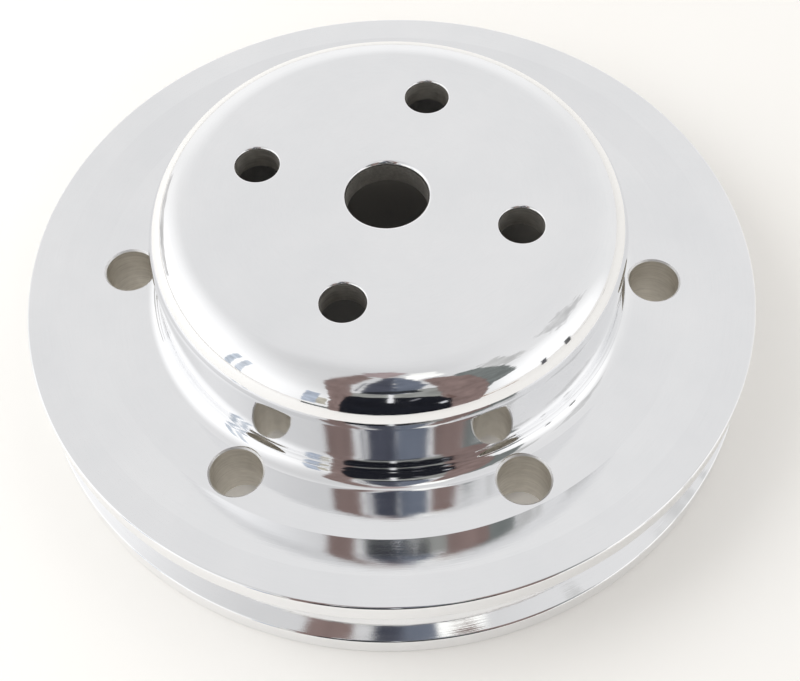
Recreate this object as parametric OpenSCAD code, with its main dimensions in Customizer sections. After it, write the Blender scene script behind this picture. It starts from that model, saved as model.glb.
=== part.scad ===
// Single-groove V-belt pulley with a deep hat, turned from one piece of aluminium.
// Origin: on the axis, at the seating face under the hub plate. +Z points out of the hat's nose.

/* [Rim and belt groove] */
// Outside diameter of the rim
rim_d = 177.8; // [177:0.1:190]
// Width of the rim along the axis
rim_w = 24.2; // [23:0.1:30]
// Width of the belt groove at the outside diameter
groove_w = 13; // [12:0.1:14]
// Depth of the belt groove
groove_depth = 14; // [11:0.1:14.5]
// Angle between the two flanks of the belt groove
groove_angle = 38; // [34:1:40]
// Corner radius at the bottom of the belt groove
groove_bottom_r = 1; // [0.4:0.1:1.2]
// Radius on every outer edge of the rim
rim_edge_r = 0.65; // [0.2:0.05:1]

/* [Front face of the rim] */
// Width of the flat land around the edge
land_w = 7.6; // [5:0.1:8]
// Width of the shallow cone between the land and the web
cone_w = 9.4; // [6:0.1:10]
// Depth of the web below the land
web_drop = 1.8; // [0.5:0.1:3]

/* [Web] */
// Thickness of the web
web_t = 18; // [15:0.1:19]
// Diameter of the ring of holes in the web
web_holes_pcd = 129.5; // [128:0.1:130.5]
// Diameter of each web hole
web_hole_d = 12.2; // [8:0.1:13]
// Number of web holes
web_hole_count = 6; // [3:1:12]
// Turn of the first web hole away from the first bolt hole, in degrees
web_hole_turn = 15; // [0:1:60]
// Chamfer on the edges of the web holes
web_hole_chamfer = 0.4; // [0.2:0.05:0.8]
// Diameter of the recess in the back face
back_recess_d = 157; // [150:0.5:160]
// Radius in the corner of the back recess
back_recess_r = 2; // [0.5:0.1:2.2]

/* [Hat] */
// Outside diameter of the hat
hat_d = 112.4; // [110:0.1:113]
// Height of the hat above the land
hat_h = 29.2; // [20:0.1:40]
// Radius of the shoulder around the top of the hat
shoulder_r = 11.5; // [8:0.1:14]
// Radius of the fillet at the foot of the hat
foot_r = 4.4; // [2:0.1:5]
// Thickness of the hat's wall
wall_t = 6.4; // [4:0.1:8]
// Radius in the inside corner under the shoulder
inside_r = 5; // [2:0.1:7]

/* [Hub plate] */
// Thickness of the hub plate
plate_t = 6.35; // [5:0.05:10]
// Diameter of the pilot bore
bore_d = 19.05; // [15:0.05:25]
// Radius on the outer edge of the pilot bore
bore_edge_r = 1; // [0.2:0.1:1.5]
// Diameter of the bolt circle
bolt_pcd = 63.5; // [50:0.1:70]
// Diameter of each bolt hole
bolt_hole_d = 10.3; // [8:0.1:12]
// Number of bolt holes
bolt_count = 4; // [3:1:6]
// Radius on the outer edge of each bolt hole
bolt_edge_r = 0.6; // [0.2:0.1:1]

/* [Hidden] */
$fn = 144;

// Overlap that keeps cuts clear of the faces they pass through
over = 0.5;
// Break on the back edges, which are only deburred
deburr = 0.4;

rim_r = rim_d / 2;
hat_r = hat_d / 2;
cavity_r = hat_r - wall_t;
recess_r = back_recess_d / 2;
lip_w = (rim_w - groove_w) / 2;
flank_len = groove_depth / cos(groove_angle / 2);

// Heights, from the seating face at zero
top_z = plate_t;
land_z = top_z - hat_h;
web_z = land_z - web_drop;
web_back_z = web_z - web_t;
back_z = land_z - rim_w;

// Directions in the half section, which is drawn with the radius along X and the height along Y
outward = [1, 0];
inward = [-1, 0];
up = [0, 1];
down = [0, -1];
into_front_flank = [-cos(groove_angle / 2), -sin(groove_angle / 2)];
into_back_flank = [-cos(groove_angle / 2), sin(groove_angle / 2)];

// Centre of the circle of radius r that touches both sides of a corner, and where it touches them.
// A side is given by its direction away from the corner.
function half_angle(side_a, side_b) = acos(side_a * side_b) / 2;
function round_centre(at, side_a, side_b, r) =
    at + (side_a + side_b) / norm(side_a + side_b) * r / sin(half_angle(side_a, side_b));
function touch(at, side, other, r) = at + side * r / tan(half_angle(side, other));

// Outline points that leave a fillet in an inside corner once its circle is cut away
function fillet_points(at, side_a, side_b, r) = [
    touch(at, side_a, side_b, r),
    round_centre(at, side_a, side_b, r),
    touch(at, side_b, side_a, r)
];

// The circle that is cut away to leave a fillet
module fillet_circle(at, side_a, side_b, r) {
    translate(round_centre(at, side_a, side_b, r)) circle(r = r);
}

// The sliver that is cut off an outside corner to round it
module corner_sliver(at, side_a, side_b, r) {
    centre = round_centre(at, side_a, side_b, r);
    touch_a = touch(at, side_a, side_b, r);
    touch_b = touch(at, side_b, side_a, r);
    difference() {
        polygon([
            centre,
            touch_a + (touch_a - centre) * over / r,
            at + (at - centre) * over / r,
            touch_b + (touch_b - centre) * over / r
        ]);
        translate(centre) circle(r = r);
    }
}

// Half section of the turned blank, from the axis out and back
module section() {
    hat_top = [hat_r, top_z];
    foot = [hat_r, web_z];
    land_edge = [rim_r, land_z];
    front_lip = [rim_r, land_z - lip_w];
    groove_front = front_lip + flank_len * into_front_flank;
    back_lip = [rim_r, back_z + lip_w];
    groove_back = back_lip + flank_len * into_back_flank;
    back_edge = [rim_r, back_z];
    recess_edge = [recess_r, back_z];
    recess_corner = [recess_r, web_back_z];
    cavity_edge = [cavity_r, web_back_z];
    cavity_corner = [cavity_r, 0];
    difference() {
        polygon(concat(
            [[0, 0], [0, top_z], hat_top],
            fillet_points(foot, up, outward, foot_r),
            [[rim_r - land_w - cone_w, web_z], [rim_r - land_w, land_z], land_edge, front_lip],
            fillet_points(groove_front, -into_front_flank, down, groove_bottom_r),
            fillet_points(groove_back, up, -into_back_flank, groove_bottom_r),
            [back_lip, back_edge, recess_edge],
            fillet_points(recess_corner, down, inward, back_recess_r),
            [cavity_edge],
            fillet_points(cavity_corner, down, inward, inside_r)
        ));
        fillet_circle(foot, up, outward, foot_r);
        fillet_circle(groove_front, -into_front_flank, down, groove_bottom_r);
        fillet_circle(groove_back, up, -into_back_flank, groove_bottom_r);
        fillet_circle(recess_corner, down, inward, back_recess_r);
        fillet_circle(cavity_corner, down, inward, inside_r);
        corner_sliver(hat_top, inward, down, shoulder_r);
        corner_sliver(land_edge, inward, down, rim_edge_r);
        corner_sliver(front_lip, up, into_front_flank, rim_edge_r);
        corner_sliver(back_lip, down, into_back_flank, rim_edge_r);
        corner_sliver(back_edge, up, inward, rim_edge_r);
        corner_sliver(recess_edge, outward, up, deburr);
        corner_sliver(cavity_edge, outward, up, deburr);
    }
}

// Cutter for a hole through the hub plate, with its outer edge rounded
module plate_hole(d, edge_r) {
    translate([0, 0, -over]) cylinder(d = d, h = plate_t + 2 * over);
    rotate_extrude() corner_sliver([d / 2, top_z], outward, down, edge_r);
}

// Cutter for a hole through the web. The front edge has a flat-bottomed chamfer tool's mark that
// runs straight up where the hole bites into the foot's fillet, and the back edge is chamfered.
module web_hole() {
    edge_d = web_hole_d + 2 * web_hole_chamfer;
    translate([0, 0, web_back_z - over]) cylinder(d = web_hole_d, h = web_t + foot_r + over);
    translate([0, 0, web_z - web_hole_chamfer])
        cylinder(d1 = web_hole_d, d2 = edge_d, h = web_hole_chamfer);
    translate([0, 0, web_z]) cylinder(d = edge_d, h = foot_r);
    translate([0, 0, web_back_z - web_hole_chamfer])
        cylinder(d1 = edge_d + 2 * web_hole_chamfer, d2 = web_hole_d, h = 2 * web_hole_chamfer);
}

// Copies its children around the axis on a circle
module ring_of(count, circle_d, turn = 0) {
    for (i = [0 : count - 1])
        rotate([0, 0, turn + i * 360 / count])
            translate([circle_d / 2, 0, 0])
                children();
}

// The pulley: one turned and drilled solid
module pulley() {
    color("gainsboro")
        difference() {
            rotate_extrude() section();
            plate_hole(bore_d, bore_edge_r);
            ring_of(bolt_count, bolt_pcd) plate_hole(bolt_hole_d, bolt_edge_r);
            ring_of(web_hole_count, web_holes_pcd, web_hole_turn) web_hole();
        }
}

pulley();
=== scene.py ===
import math

import bmesh
import bpy
from mathutils import Matrix, Vector


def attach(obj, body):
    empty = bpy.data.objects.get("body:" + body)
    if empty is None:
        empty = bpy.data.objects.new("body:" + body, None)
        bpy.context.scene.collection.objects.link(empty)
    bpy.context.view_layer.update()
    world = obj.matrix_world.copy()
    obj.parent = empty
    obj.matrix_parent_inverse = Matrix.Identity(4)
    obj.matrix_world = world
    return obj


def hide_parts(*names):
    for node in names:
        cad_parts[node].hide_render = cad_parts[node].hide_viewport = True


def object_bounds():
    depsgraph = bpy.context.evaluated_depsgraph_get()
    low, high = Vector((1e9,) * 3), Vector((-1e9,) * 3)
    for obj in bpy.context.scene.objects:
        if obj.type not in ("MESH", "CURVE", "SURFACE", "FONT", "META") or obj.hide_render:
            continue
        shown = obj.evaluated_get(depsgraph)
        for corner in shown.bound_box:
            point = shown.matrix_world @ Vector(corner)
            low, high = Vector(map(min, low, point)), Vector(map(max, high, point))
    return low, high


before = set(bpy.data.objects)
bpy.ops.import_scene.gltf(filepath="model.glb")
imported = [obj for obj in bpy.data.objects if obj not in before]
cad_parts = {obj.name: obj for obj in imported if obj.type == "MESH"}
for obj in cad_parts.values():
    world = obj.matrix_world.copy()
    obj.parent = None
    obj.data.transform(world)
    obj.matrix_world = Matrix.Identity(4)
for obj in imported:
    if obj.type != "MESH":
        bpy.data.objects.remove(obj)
cad_low, cad_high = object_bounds()

MM = 0.001
FLOOR_Z = cad_low.z

# The turned section, in millimetres from the axis and from the seating face, as in the CAD part
TOP_Z = cad_high.z / MM
BACK_Z = cad_low.z / MM
RIM_R = cad_high.x / MM
HAT_H = 29.2
LAND_Z = TOP_Z - HAT_H
WEB_Z = LAND_Z - 1.8
WEB_BACK_Z = WEB_Z - 18.0
HAT_R, SHOULDER_R, FOOT_R = 56.2, 11.5, 4.4
LAND_W, CONE_W = 7.6, 9.4
GROOVE_W, GROOVE_DEPTH, GROOVE_ANGLE, GROOVE_BOTTOM_R = 13.0, 14.0, 38.0, 1.0
RIM_EDGE_R = 0.65
RECESS_R, RECESS_CORNER_R = 78.5, 2.0
CAVITY_R, INSIDE_R = 49.8, 5.0
DEBURR = 0.4
BORE_R, BORE_EDGE_R = 9.525, 1.0
BOLT_COUNT, BOLT_PCD, BOLT_R, BOLT_EDGE_R = 4, 63.5, 5.15, 0.6
WEB_HOLE_COUNT, WEB_HOLE_PCD, WEB_HOLE_R, WEB_HOLE_CHAMFER, WEB_HOLE_TURN = 6, 129.5, 6.1, 0.4, 15.0
# How far the drills reach past the faces they cut
OVER = 1.0

# Fineness of the visible mesh, and the gap in millimetres under which its points are merged
TURNED_STEPS = 384
HOLE_STEPS = 72
ARC_STEP = math.radians(6)
MERGE_GAP = 0.002

# A point nearer to the axis than this in millimetres is on it
ON_AXIS = 1e-6

# A mesh face stands for a true surface that is this near to it in millimetres and faces its way.
# The surfaces of a hole are only looked for up to this far past the radius of a web hole.
SURFACE_GAP = 0.35
SAME_WAY = 0.9
HOLE_MARGIN = 1.5

# Finishes, in the order of the pulley's material slots
POLISHED, MACHINED, BORED, DEBURRED = 0, 1, 2, 3


# ---------------------------------------------------------------- turned shapes

class Line:
    """A straight stretch of an outline, with the air on its left."""

    def __init__(self, start, end, finish):
        self.start, self.end, self.finish = start, end, finish
        along = (end - start).normalized()
        self.out = Vector((-along.y, along.x))

    def points(self):
        return [self.start, self.end]

    def normal(self, at):
        return self.out

    def distance(self, at):
        along = self.end - self.start
        share = max(0.0, min(1.0, (at - self.start).dot(along) / along.length_squared))
        return (at - self.start - along * share).length


class Arc:
    """A round stretch of an outline, around its centre."""

    def __init__(self, centre, start, turn, finish):
        self.centre, self.start, self.turn, self.finish = centre, start, turn, finish
        self.radius = (start - centre).length
        self.end = centre + Matrix.Rotation(turn, 2) @ (start - centre)

    def points(self):
        steps = max(3, math.ceil(abs(self.turn) / ARC_STEP))
        spoke = self.start - self.centre
        return [self.centre + Matrix.Rotation(self.turn * i / steps, 2) @ spoke for i in range(steps + 1)]

    def normal(self, at):
        away = (at - self.centre).normalized()
        return away if self.turn < 0 else -away

    def distance(self, at):
        spoke, start = at - self.centre, self.start - self.centre
        angle = math.atan2(start.x * spoke.y - start.y * spoke.x, start.dot(spoke))
        if 0 <= angle / self.turn <= 1:
            return abs(spoke.length - self.radius)
        return min((at - self.start).length, (at - self.end).length)


def outline(corners):
    """Lines and arcs of a closed outline. A corner is (radius from the axis, height, rounding, finish),
    and its finish is that of the line that leaves it."""
    spots = [Vector(c[:2]) for c in corners]
    count, parts, ends = len(corners), [], []
    for i, (_, _, rounding, finish) in enumerate(corners):
        before = (spots[i] - spots[i - 1]).normalized()
        after = (spots[(i + 1) % count] - spots[i]).normalized()
        turn = math.atan2(before.x * after.y - before.y * after.x, before.dot(after))
        back = rounding * math.tan(abs(turn) / 2)
        start, end = spots[i] - before * back, spots[i] + after * back
        side = Vector((-before.y, before.x)) * math.copysign(rounding, turn)
        ends.append((start, end))
        if rounding:
            parts.append((i, Arc(start + side, start, turn, finish if turn < 0 else corners[i - 1][3])))
    for i in range(count):
        parts.append((i + 0.5, Line(ends[i][1], ends[(i + 1) % count][0], corners[i][3])))
    return [part for _, part in sorted(parts, key=lambda p: p[0])]


def turned(bm, parts, steps, centre=(0.0, 0.0)):
    """Adds the solid that the outline sweeps around a vertical axis, in millimetres."""
    sections = []
    for part in parts:
        sections += [(p, part.finish) for p in part.points()[:-1]]
    rings = []
    for spot, _ in sections:
        if abs(spot.x) < ON_AXIS:
            rings.append([bm.verts.new((centre[0], centre[1], spot.y))])
            continue
        angles = [2 * math.pi * s / steps for s in range(steps)]
        rings.append([
            bm.verts.new((centre[0] + spot.x * math.cos(a), centre[1] + spot.x * math.sin(a), spot.y))
            for a in angles
        ])
    for i, (_, finish) in enumerate(sections):
        above, below = rings[i], rings[(i + 1) % len(rings)]
        if len(above) == 1 and len(below) == 1:
            continue
        for s in range(steps):
            t = (s + 1) % steps
            corners = [above[s % len(above)], below[s % len(below)]]
            corners += [below[t % len(below)], above[t % len(above)]]
            face = bm.faces.new([v for k, v in enumerate(corners) if v not in corners[:k]])
            face.material_index = finish


def blank_outline():
    """The half section of the pulley before its bolt holes and web holes are drilled."""
    lip_w = (LAND_Z - BACK_Z - GROOVE_W) / 2
    slope = math.tan(math.radians(GROOVE_ANGLE / 2))
    front_lip, back_lip = LAND_Z - lip_w, BACK_Z + lip_w
    floor_r, narrowing = RIM_R - GROOVE_DEPTH, GROOVE_DEPTH * slope
    return outline([
        (BORE_R, TOP_Z, BORE_EDGE_R, POLISHED),
        (HAT_R, TOP_Z, SHOULDER_R, POLISHED),
        (HAT_R, WEB_Z, FOOT_R, POLISHED),
        (RIM_R - LAND_W - CONE_W, WEB_Z, 0, POLISHED),
        (RIM_R - LAND_W, LAND_Z, 0, POLISHED),
        (RIM_R, LAND_Z, RIM_EDGE_R, POLISHED),
        (RIM_R, front_lip, RIM_EDGE_R, POLISHED),
        (floor_r, front_lip - narrowing, GROOVE_BOTTOM_R, MACHINED),
        (floor_r, back_lip + narrowing, GROOVE_BOTTOM_R, POLISHED),
        (RIM_R, back_lip, RIM_EDGE_R, POLISHED),
        (RIM_R, BACK_Z, RIM_EDGE_R, MACHINED),
        (RECESS_R, BACK_Z, DEBURR, MACHINED),
        (RECESS_R, WEB_BACK_Z, RECESS_CORNER_R, MACHINED),
        (CAVITY_R, WEB_BACK_Z, DEBURR, MACHINED),
        (CAVITY_R, 0, INSIDE_R, MACHINED),
        (BORE_R, 0, 0, BORED),
    ])


def bolt_hole_outline():
    """The drill for a bolt hole, which leaves a round edge at the top."""
    flare = BOLT_R + BOLT_EDGE_R
    wall = Line(Vector((BOLT_R, TOP_Z - BOLT_EDGE_R)), Vector((BOLT_R, -OVER)), BORED)
    edge_start = Vector((flare, TOP_Z))
    edge = Arc(Vector((flare, TOP_Z - BOLT_EDGE_R)), edge_start, math.pi / 2, POLISHED)
    sides = [Vector((0, TOP_Z + OVER)), Vector((flare, TOP_Z + OVER)), edge_start]
    ends = [Vector((BOLT_R, -OVER)), Vector((0, -OVER)), Vector((0, TOP_Z + OVER))]
    return (
        [Line(a, b, BORED) for a, b in zip(sides, sides[1:])]
        + [edge, wall]
        + [Line(a, b, BORED) for a, b in zip(ends, ends[1:])]
    )


def web_hole_outline():
    """The drill for a web hole, which leaves a chamfer at each end."""
    edge = WEB_HOLE_R + WEB_HOLE_CHAMFER
    return outline([
        (0, WEB_Z + FOOT_R + OVER, 0, BORED),
        (edge, WEB_Z + FOOT_R + OVER, 0, BORED),
        (edge, WEB_Z, 0, DEBURRED),
        (WEB_HOLE_R, WEB_Z - WEB_HOLE_CHAMFER, 0, BORED),
        (WEB_HOLE_R, WEB_BACK_Z + WEB_HOLE_CHAMFER, 0, DEBURRED),
        (edge + OVER, WEB_BACK_Z - OVER, 0, BORED),
        (0, WEB_BACK_Z - OVER, 0, BORED),
    ])


def ring_centres(count, circle_d, turn=0.0):
    """Centres of holes on a circle, the first one turned away from +X by an angle in degrees."""
    angles = [math.radians(turn + 360 * i / count) for i in range(count)]
    return [Vector((math.cos(a), math.sin(a))) * circle_d / 2 for a in angles]


def mesh_object(name, bm, materials):
    """An object in metres from a bmesh drawn in millimetres."""
    bmesh.ops.recalc_face_normals(bm, faces=bm.faces)
    bmesh.ops.scale(bm, vec=(MM, MM, MM), verts=bm.verts)
    mesh = bpy.data.meshes.new(name)
    bm.to_mesh(mesh)
    bm.free()
    for material in materials:
        mesh.materials.append(material)
    obj = bpy.data.objects.new(name, mesh)
    bpy.context.scene.collection.objects.link(obj)
    return obj


def true_normals(mesh, blank, holes):
    """Gives every face corner the normal of the true round surface that its face stands for.
    holes holds (centre, outline) of each drilled hole."""
    normals = [None] * len(mesh.loops)
    axis = Vector((0.0, 0.0))
    for face in mesh.polygons:
        middle = face.center / MM
        best = None
        for centre, parts in [(axis, blank)] + holes:
            flat = Vector((middle.x, middle.y)) - centre
            if centre is not axis and flat.length > WEB_HOLE_R + HOLE_MARGIN:
                continue
            at, side = Vector((flat.length, middle.z)), flat.normalized()
            for part in parts:
                gap = part.distance(at)
                if gap < SURFACE_GAP and (best is None or gap < best[0]):
                    facing = part.normal(at) * (1 if centre is axis else -1)
                    outward = Vector((side.x * facing.x, side.y * facing.x, facing.y))
                    if outward.dot(face.normal) > SAME_WAY:
                        best = (gap, centre, part)
        for loop in face.loop_indices:
            if best is None:
                normals[loop] = face.normal.copy()
                continue
            _, centre, part = best
            spot = mesh.vertices[mesh.loops[loop].vertex_index].co / MM
            flat = Vector((spot.x, spot.y)) - centre
            facing = part.normal(Vector((flat.length, spot.z))) * (1 if centre is axis else -1)
            out = flat.normalized() * facing.x
            normals[loop] = Vector((out.x, out.y, facing.y)).normalized()
    for face in mesh.polygons:
        face.use_smooth = True
    mesh.normals_split_custom_set(normals)


def tidy_mesh(mesh):
    """Merges the points that the cuts leave on top of each other."""
    bm = bmesh.new()
    bm.from_mesh(mesh)
    bmesh.ops.remove_doubles(bm, verts=bm.verts, dist=MERGE_GAP * MM)
    bmesh.ops.dissolve_degenerate(bm, edges=bm.edges, dist=MERGE_GAP * MM)
    bm.to_mesh(mesh)
    bm.free()


def build_pulley(materials):
    """The whole pulley as one closed mesh: the turned blank with every hole drilled through it."""
    blank, bolt, web = blank_outline(), bolt_hole_outline(), web_hole_outline()
    holes = [(c, bolt) for c in ring_centres(BOLT_COUNT, BOLT_PCD)]
    holes += [(c, web) for c in ring_centres(WEB_HOLE_COUNT, WEB_HOLE_PCD, WEB_HOLE_TURN)]
    bm = bmesh.new()
    turned(bm, blank, TURNED_STEPS)
    pulley = mesh_object("pulley_polished", bm, materials)
    bm = bmesh.new()
    for centre, parts in holes:
        turned(bm, parts, HOLE_STEPS, centre)
    drills = mesh_object("drills", bm, materials)
    cut = pulley.modifiers.new("holes", "BOOLEAN")
    cut.operation, cut.solver, cut.object = "DIFFERENCE", "EXACT", drills
    graph = bpy.context.evaluated_depsgraph_get()
    mesh = bpy.data.meshes.new_from_object(pulley.evaluated_get(graph))
    pulley.modifiers.clear()
    pulley.data = mesh
    bpy.data.objects.remove(drills)
    tidy_mesh(mesh)
    true_normals(mesh, blank, holes)
    return pulley


# ---------------------------------------------------------------- materials

class Nodes:
    """Short ways to add and join shader nodes in one tree."""

    def __init__(self, tree):
        self.tree = tree
        tree.nodes.clear()

    def add(self, kind, inputs=None, **settings):
        node = self.tree.nodes.new("ShaderNode" + kind)
        for key, value in settings.items():
            setattr(node, key, value)
        for key, value in (inputs or {}).items():
            self.give(node.inputs[key], value)
        return node

    def give(self, socket, value):
        if isinstance(value, bpy.types.NodeSocket):
            self.tree.links.new(value, socket)
        elif socket.type == "RGBA":
            socket.default_value = (*value, 1.0)
        else:
            socket.default_value = value

    def math(self, operation, *values):
        node = self.add("Math", operation=operation)
        for socket, value in zip(node.inputs, values):
            self.give(socket, value)
        return node.outputs[0]

    def plus(self, a, b):
        return self.math("ADD", a, b)

    def times(self, a, b):
        return self.math("MULTIPLY", a, b)

    def length(self, x, y):
        return self.math("SQRT", self.plus(self.math("POWER", x, 2.0), self.math("POWER", y, 2.0)))

    def noise(self, vector, scale, detail=3.0, roughness=0.5):
        inputs = {"Vector": vector, "Scale": scale, "Detail": detail, "Roughness": roughness}
        return self.add("TexNoise", inputs).outputs["Fac"]

    def between(self, value, low, high, to_low=0.0, to_high=1.0):
        inputs = {"Value": value, "From Min": low, "From Max": high, "To Min": to_low, "To Max": to_high}
        return self.add("MapRange", inputs).outputs["Result"]

    def mix(self, share, low, high):
        return self.add("MixRGB", {"Fac": share, "Color1": low, "Color2": high}).outputs[0]

    def vector(self, x, y, z):
        return self.add("CombineXYZ", {"X": x, "Y": y, "Z": z}).outputs[0]

    def bump(self, height):
        """A bump from a height in metres."""
        return self.add("Bump", {"Height": height, "Strength": 1.0, "Distance": 1.0}).outputs[0]

    def show(self, shader, kind="OutputMaterial"):
        self.tree.links.new(shader.outputs[0], self.add(kind).inputs[0])


def turned_coordinates(n):
    """The place on the object, the radius plus the height, which changes on flat faces and on walls,
    the height, all in metres, and the angle round the axis."""
    place = n.add("TexCoord").outputs["Object"]
    x, y, height = n.add("SeparateXYZ", {"Vector": place}).outputs
    return place, n.plus(n.length(x, y), height), height, n.math("ARCTAN2", y, x)


def turning_lines(n, across, angle, per_metre, per_radian, detail, roughness=0.5, layer=0.0):
    """Noise that is drawn out into lines round the axis."""
    place = n.vector(n.times(across, per_metre), n.times(angle, per_radian), layer)
    return n.noise(place, 1.0, detail, roughness)


def metal(name, colour, roughness, build):
    """A metal of an average colour and roughness, which build(n, shader) then varies over it."""
    material = bpy.data.materials.new(name)
    material.use_nodes = True
    n = Nodes(material.node_tree)
    shader = n.add("BsdfPrincipled", {"Base Color": colour, "Metallic": 1.0, "Roughness": roughness})
    n.show(shader)
    build(n, shader)
    return material


def polished_aluminium():
    """A mirror polish with fine buffing lines, a few wider hairlines, faint smudges and slow waves."""
    def build(n, shader):
        place, across, _, angle = turned_coordinates(n)
        lines = turning_lines(n, across, angle, 5000.0, 6.0, 4.0, 0.6)
        hairlines = turning_lines(n, across, angle, 900.0, 2.0, 2.0, layer=3.0)
        smudges = n.noise(place, 45.0, 4.0, 0.6)
        waves = n.noise(place, 30.0, 1.0)
        haze = n.between(smudges, 0.35, 0.75, 0.028, 0.075)
        n.give(shader.inputs["Roughness"], n.plus(haze, n.between(hairlines, 0.5, 0.8, 0.0, 0.035)))
        shader.inputs["Anisotropic"].default_value = 0.5
        n.give(shader.inputs["Tangent"], n.add("Tangent", direction_type="RADIAL", axis="Z").outputs[0])
        tone = n.between(n.plus(n.times(smudges, 0.7), n.times(lines, 0.3)), 0.3, 0.7)
        n.give(shader.inputs["Base Color"], n.mix(tone, (0.87, 0.875, 0.885), (0.93, 0.93, 0.935)))
        relief = n.plus(n.times(lines, 0.000004), n.times(waves, 0.00002))
        n.give(shader.inputs["Normal"], n.bump(relief))

    return metal("polished_aluminium", (0.91, 0.91, 0.92), 0.04, build)


def machined_aluminium():
    """A turned face with the fine lines of the tool's feed."""
    def build(n, shader):
        place, across, _, angle = turned_coordinates(n)
        feed = turning_lines(n, across, angle, 3500.0, 3.0, 3.0, 0.55)
        stains = n.noise(place, 60.0, 4.0, 0.6)
        n.give(shader.inputs["Roughness"], n.between(stains, 0.3, 0.7, 0.26, 0.36))
        n.give(shader.inputs["Base Color"], n.mix(feed, (0.70, 0.70, 0.71), (0.84, 0.84, 0.85)))
        n.give(shader.inputs["Normal"], n.bump(n.times(feed, 0.00003)))

    return metal("machined_aluminium", (0.7, 0.7, 0.7), 0.3, build)


def bored_aluminium():
    """The satin wall of a drilled hole, with rings of chatter and blotches."""
    def build(n, shader):
        place, _, height, angle = turned_coordinates(n)
        rings = n.vector(0.0, n.times(angle, 12.0), n.times(height, 2200.0))
        chatter = n.noise(rings, 1.0, 3.0, 0.6)
        blotches = n.noise(place, 260.0, 3.0, 0.6)
        tone = n.plus(n.times(chatter, 0.6), n.times(blotches, 0.4))
        colour = n.mix(n.between(tone, 0.35, 0.65), (0.66, 0.635, 0.585), (0.93, 0.905, 0.85))
        n.give(shader.inputs["Roughness"], n.between(chatter, 0.3, 0.7, 0.38, 0.56))
        n.give(shader.inputs["Base Color"], colour)
        n.give(shader.inputs["Normal"], n.bump(n.times(tone, 0.00006)))

    return metal("bored_aluminium", (0.85, 0.83, 0.79), 0.45, build)


def deburred_aluminium():
    """The pale scraped edge of a hole."""
    def build(n, shader):
        nicks = n.noise(n.add("TexCoord").outputs["Object"], 900.0, 3.0, 0.6)
        n.give(shader.inputs["Roughness"], n.between(nicks, 0.3, 0.7, 0.42, 0.6))
        n.give(shader.inputs["Base Color"], n.mix(nicks, (0.90, 0.89, 0.87), (0.98, 0.98, 0.975)))

    return metal("deburred_aluminium", (0.95, 0.95, 0.94), 0.5, build)


# ---------------------------------------------------------------- studio

# What the polish mirrors around the object is placed by its direction from this point, at a near
# or a far distance in metres
MIRROR_POINT = Vector((0.018, -0.052, -0.005))
NEAR, FAR = 0.36, 0.55

BLACK, INK, CHARCOAL = (0.012, 0.013, 0.018), (0.03, 0.033, 0.04), (0.14, 0.14, 0.16)
SLATE, DUSK, GRAPHITE = (0.075, 0.08, 0.105), (0.15, 0.17, 0.215), (0.22, 0.22, 0.24)
BROWN, DARK_BROWN = (0.235, 0.172, 0.16), (0.15, 0.10, 0.09)
ROSE, WOOD = (0.36, 0.29, 0.29), (0.36, 0.22, 0.16)
HAZE, SHELF = (0.31, 0.315, 0.30), (0.19, 0.205, 0.20)
SHADE, PALE_SHADE = (0.56, 0.56, 0.555), (0.63, 0.63, 0.63)
SILVER, WHITE, WARM_WHITE = (0.72, 0.73, 0.77), (0.9, 0.9, 0.92), (1.0, 1.0, 0.97)


def direction(azimuth, elevation):
    """The unit vector towards an azimuth and an elevation in degrees."""
    a, e = math.radians(azimuth), math.radians(elevation)
    return Vector((math.cos(e) * math.cos(a), math.cos(e) * math.sin(a), math.sin(e)))


def stage_shape(name, corners, faces):
    """A stage object, and the nodes of its still empty material."""
    mesh = bpy.data.meshes.new(name)
    mesh.from_pydata(corners, [], faces)
    material = bpy.data.materials.new(name)
    material.use_nodes = True
    mesh.materials.append(material)
    obj = bpy.data.objects.new(name, mesh)
    bpy.context.scene.collection.objects.link(obj)
    return obj, Nodes(material.node_tree)


def grown(directions, by):
    """The same outline of (azimuth, elevation) directions with each side moved out by an angle."""
    shrink = math.cos(math.radians(sum(d[1] for d in directions) / len(directions)))
    spots = [Vector((azimuth * shrink, elevation)) for azimuth, elevation in directions]
    pairs = list(zip(spots, spots[1:] + spots[:1]))
    side = math.copysign(1.0, sum(p.x * q.y - p.y * q.x for p, q in pairs))
    outs = [Vector(((q - p).y, -(q - p).x)).normalized() * side for p, q in pairs]
    moved = []
    for i, spot in enumerate(spots):
        middle = (outs[i - 1] + outs[i]).normalized()
        moved.append(spot + middle * by / max(0.5, middle.dot(outs[i])))
    return [(spot.x / shrink, spot.y) for spot in moved]


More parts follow.
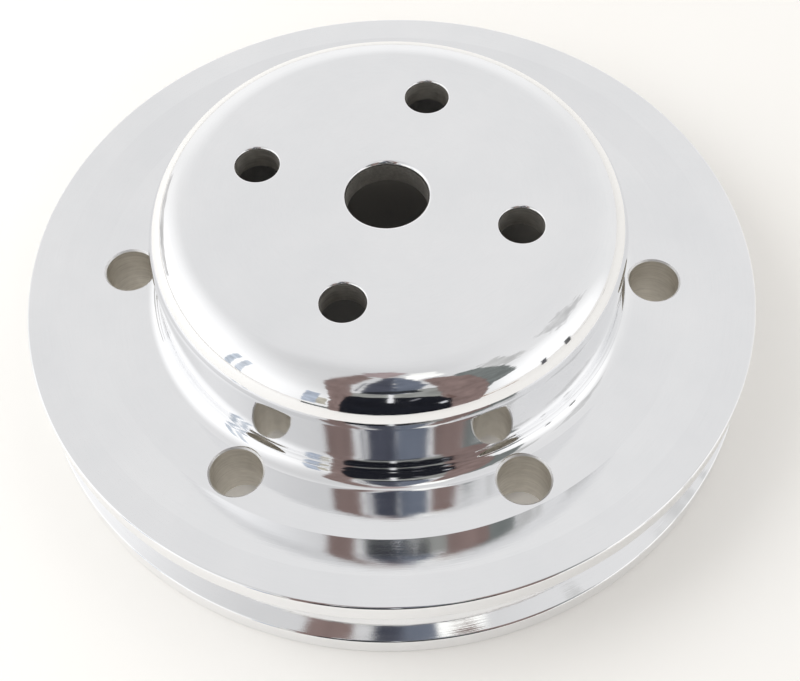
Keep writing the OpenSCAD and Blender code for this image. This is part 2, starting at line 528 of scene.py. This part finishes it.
def card(name, directions, distance, colour, glow=1.0, soft=2.4, folds=0.22):
    """A studio card that only reflections show. Its corners are (azimuth, elevation) in degrees from
    MIRROR_POINT, at one distance in metres. Its edge wanders in a band that is soft degrees wide, and
    folds is how much its tone varies, as cloth or furniture out of focus does."""
    count = len(directions)
    both = grown(directions, -soft / 2) + grown(directions, soft / 2)
    faces = [list(range(count))]
    faces += [[i, (i + 1) % count, count + (i + 1) % count, count + i] for i in range(count)]
    obj, n = stage_shape(name, [MIRROR_POINT + distance * direction(*d) for d in both], faces)
    cover = obj.data.attributes.new("cover", "FLOAT", "POINT")
    for i in range(count):
        cover.data[i].value = 1.0
    place = n.add("TexCoord").outputs["Object"]
    tone = n.between(n.noise(place, 18.0, 3.0, 0.55), 0.3, 0.7, glow * (1 - folds), glow * (1 + folds))
    wander = n.between(n.noise(place, 32.0, 3.0), 0.25, 0.75, -0.4, 0.4)
    edge = n.plus(n.add("Attribute", attribute_name="cover").outputs["Fac"], wander)
    light = n.add("Emission", {"Color": colour, "Strength": tone}).outputs[0]
    clear = n.add("BsdfTransparent").outputs[0]
    n.show(n.add("MixShader", {0: n.between(edge, 0.38, 0.62), 1: clear, 2: light}))
    obj.visible_camera = obj.visible_diffuse = obj.visible_shadow = obj.visible_transmission = False


def block(left, right, low, high):
    return [(left, low), (right, low), (right, high), (left, high)]


def person_cards():
    """The dark and brown shapes that a person at the camera, in front of the object, mirrors in it."""
    back, middle, front = NEAR + 0.02, NEAR + 0.01, NEAR - 0.02
    card("body", [(266, -13), (312, -13), (313, 16), (309, 26), (300, 31), (290, 34), (268, 33), (265, 26)],
         NEAR, BLACK)
    card("gap", [(264, 30), (296, 30), (312, 24), (313, 44), (303, 47), (296, 41), (268, 41)],
         NEAR + 0.04, HAZE)
    card("head", [(273, 41), (290, 41), (290, 77), (280, 76), (273, 64), (272, 50)], middle, SLATE)
    card("cable", [(268.5, 45), (269.7, 45), (270.2, 64), (269, 64)], middle, SLATE, soft=0.4)
    card("hair", [(289, 41), (299, 42), (308, 54), (307, 62), (299, 74), (289, 77)], middle, DUSK)
    card("camera_base", [(272, 41), (303, 42), (300, 47), (274, 46)], NEAR - 0.01, INK, soft=1.0)
    card("left_arm", [(262, -10), (267, -10), (269, 34), (264, 56), (268, 74), (244, 78), (248, 54),
                      (258, 34), (261, 20)], back, BROWN)
    card("right_arm", [(312, -8), (324, -8), (329, 12), (331, 30), (331, 52), (320, 66), (309, 66),
                       (311, 46), (310, 26)], back, BROWN)
    card("sleeve", [(312, 4), (323, 4), (326, 34), (318, 40), (312, 24)], middle, DARK_BROWN)
    card("glint", [(286, 12), (288.5, 12), (288.5, 41), (286, 41)], front, WHITE, soft=0.8, folds=0.0)
    card("bag_edge", [(303, 6), (311, 9), (311, 13), (303, 10)], front, SILVER, soft=0.8)
    card("strap", [(292, 18), (301, 27), (300, 29), (291, 20)], front, GRAPHITE, soft=0.6)
    card("hem", [(272, -13), (300, -13), (296, -8), (276, -8)], front, CHARCOAL)


def room_cards():
    """The furniture and lamp around the object, further away."""
    card("lamp_front", [(302, 67), (326, 67), (334, 75), (318, 82), (300, 78)], FAR, WARM_WHITE,
         glow=1.15, soft=4.0, folds=0.1)
    card("fringe", [(250, 76), (280, 75), (300, 79), (312, 84), (300, 88), (240, 88), (240, 80)], FAR,
         ROSE, soft=4.0)
    card("shelf_right", [(326, 10), (332, 18), (342, 20), (343, 34), (340, 56), (326, 62)], FAR,
         SHELF, soft=3.0)
    card("shade_right", block(341, 354, 38, 58), FAR + 0.02, SHADE, soft=10.0, folds=0.15)
    card("shade_far_right", block(10, 27, 30, 46), FAR, PALE_SHADE, soft=10.0, folds=0.15)
    card("floor_right", block(312, 340, -9, -3), FAR, WOOD)
    card("floor_right_edge", block(318, 346, -12, -8), FAR + 0.01, (0.12, 0.11, 0.11), soft=1.0)
    card("legs_right", block(351, 353.5, -13, 4), FAR, (0.10, 0.10, 0.11), soft=0.8)
    card("legs_far_right", block(3, 6, -5, 4), FAR, (0.12, 0.12, 0.12), soft=0.8)
    card("foot_right", block(345, 360, -19, -15), FAR, (0.25, 0.24, 0.24), soft=1.0)
    card("bench_right", block(8, 30, -12, -4), FAR, (0.60, 0.58, 0.56))
    card("chair_left", block(251, 257, 2, 26), FAR, (0.46, 0.51, 0.60), soft=1.0)
    card("chair_seat", block(256, 261, 4, 18), FAR, (0.52, 0.49, 0.42), soft=1.0)
    card("chair_legs", block(251, 266, -11, -1), FAR - 0.01, (0.17, 0.18, 0.18), soft=1.0)
    card("frame_left", block(217, 220, 0, 28), FAR, (0.60, 0.66, 0.74), soft=1.0)
    card("frame_bar", block(222, 225, 0, 28), FAR, (0.66, 0.71, 0.78), soft=1.0)
    card("far_left", [(150, 1), (180, 1), (180, 6), (165, 9), (150, 6)], FAR, (0.66, 0.655, 0.65))


def floor():
    """A pale table. It gives off a little light, more under the web, where it brightens the walls of
    the web holes, and none under the hat, where it is in shade; there its colour is also darkened, as
    painted shade."""
    size = 4.0
    corners = [(x * size, y * size, FLOOR_Z) for x, y in ((-1, -1), (1, -1), (1, 1), (-1, 1))]
    _, n = stage_shape("floor", corners, [(0, 1, 2, 3)])
    place = n.add("TexCoord").outputs["Object"]
    x, y, _ = n.add("SeparateXYZ", {"Vector": place}).outputs
    reach = n.length(x, y)
    under_web = n.times(n.between(reach, 0.055, 0.059), n.between(reach, 0.071, 0.075, 1.0, 0.0))
    past_hat = n.between(reach, 0.053, 0.057)
    tone = n.between(n.noise(place, 6.0, 3.0), 0.3, 0.7)
    open_colour = n.mix(tone, (0.90, 0.875, 0.832), (0.915, 0.897, 0.865))
    n.show(n.add("BsdfPrincipled", {
        # Under the hat the table is given a darker colour, as painted shade.
        "Base Color": n.mix(past_hat, (0.45, 0.44, 0.42), open_colour),
        "Roughness": 0.6,
        "Emission Color": (1.0, 0.95, 0.87),
        "Emission Strength": n.times(n.plus(n.times(under_web, 0.17), 0.07), past_hat),
    }))


def glow_towards(n, way, azimuth, elevation, start, full):
    """A soft share from 0 to 1 of how near a way is to one part of the room. It starts and is full at
    two angles from it, in degrees."""
    inputs = {0: way, 1: direction(azimuth, elevation)}
    dot = n.add("VectorMath", inputs, operation="DOT_PRODUCT").outputs["Value"]
    inputs = {
        "Value": dot,
        "From Min": math.cos(math.radians(start)),
        "From Max": math.cos(math.radians(full)),
    }
    return n.add("MapRange", inputs, interpolation_type="SMOOTHSTEP").outputs["Result"]


def surroundings():
    """A pale room: light walls, a slightly darker ceiling, and soft bright and dark parts."""
    world = bpy.data.worlds.new("soft_room")
    bpy.context.scene.world = world
    world.use_nodes = True
    n = Nodes(world.node_tree)
    way = n.add("TexCoord").outputs["Generated"]
    height = n.add("SeparateXYZ", {"Vector": way}).outputs[2]
    # Azimuth, elevation, start and full angle of each part in degrees, and how much it adds
    parts = [
        (205, 8, 62, 20, 0.38),  # window on the left
        (358, 6, 36, 14, 0.30),  # window on the right
        (118, 5, 42, 14, 0.14),  # wall behind the object
        (262, 60, 42, 14, -0.14),  # shade at the left of the camera
        (0, 90, 22, 6, -0.04),  # ceiling straight above
    ]
    strength = 1.0
    for azimuth, elevation, start, full, amount in parts:
        strength = n.plus(strength, n.times(glow_towards(n, way, azimuth, elevation, start, full), amount))
    colour = n.mix(n.between(height, 0.3, 0.95), (0.88, 0.88, 0.88), (0.80, 0.80, 0.805))
    n.show(n.add("Background", {"Color": colour, "Strength": strength}), "OutputWorld")


def key_light():
    """A soft lamp at the left that mirrors don't show, as the light of a window there."""
    data = bpy.data.lights.new("key", "AREA")
    data.shape = "DISK"
    data.size = 0.7
    data.energy = 2.6
    data.color = (0.96, 0.98, 1.0)
    obj = bpy.data.objects.new("key", data)
    bpy.context.scene.collection.objects.link(obj)
    place = Vector((-0.60, -0.15, 0.50))
    obj.matrix_world = Matrix.Translation(place) @ place.to_track_quat("Z", "Y").to_matrix().to_4x4()
    obj.visible_glossy = False


def camera():
    """A camera in front of the object and well above it, rolled a little, that looks past the axis."""
    target = Vector((0.00847, -0.01915, -0.02285))
    distance = 0.3248
    back = direction(-71.1, 55.96)
    roll = math.radians(-2.0)
    data = bpy.data.cameras.new("camera")
    data.sensor_width = 36.0
    data.lens = 61.5
    data.clip_start = 0.01
    data.clip_end = 50.0
    obj = bpy.data.objects.new("camera", data)
    bpy.context.scene.collection.objects.link(obj)
    turn = (-back).to_track_quat("-Z", "Y").to_matrix().to_4x4()
    obj.matrix_world = Matrix.Translation(target + back * distance) @ turn @ Matrix.Rotation(roll, 4, "Z")
    bpy.context.scene.camera = obj


bpy.context.scene.view_settings.view_transform = "Standard"
bpy.context.scene.cycles.glossy_bounces = 10
camera()
surroundings()
key_light()
floor()
person_cards()
room_cards()
finishes = [polished_aluminium(), machined_aluminium(), bored_aluminium(), deburred_aluminium()]
pulley = build_pulley(finishes)
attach(pulley, "root")
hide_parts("pulley")
